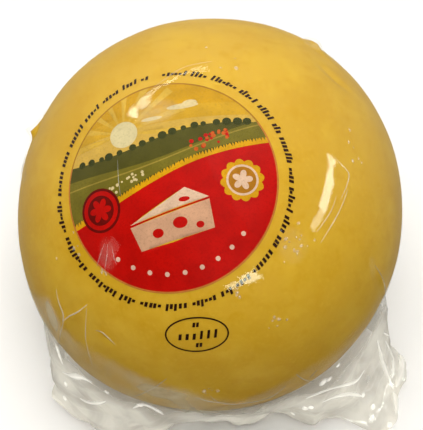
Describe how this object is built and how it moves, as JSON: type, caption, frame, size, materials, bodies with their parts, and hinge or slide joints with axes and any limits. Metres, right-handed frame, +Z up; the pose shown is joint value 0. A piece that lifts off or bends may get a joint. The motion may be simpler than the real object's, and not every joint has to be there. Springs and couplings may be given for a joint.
{
  "type": "ball of cheese in clear film",
  "caption": "Round ball of yellow semi-hard cheese in tight clear film, with a round label on its crown and crumpled spare film round its foot.",
  "frame": {"origin": "on the floor under the middle of the ball, at the centre of its flat foot", "axes": "+Z up, -Y towards the side that the label leans to, +X to the right seen from there"},
  "size_m": [0.1575, 0.1545, 0.1406],
  "materials": {
    "cheese": "satin yellow rind under tight clear film",
    "film": "thin clear crumpled plastic film",
    "label": "glossy print, mostly red with a golden field"
  },
  "bodies": {
    "root": {"cheese_ball": "cheese", "film_skirt": "film", "label": "label"}
  },
  "joints": []
}
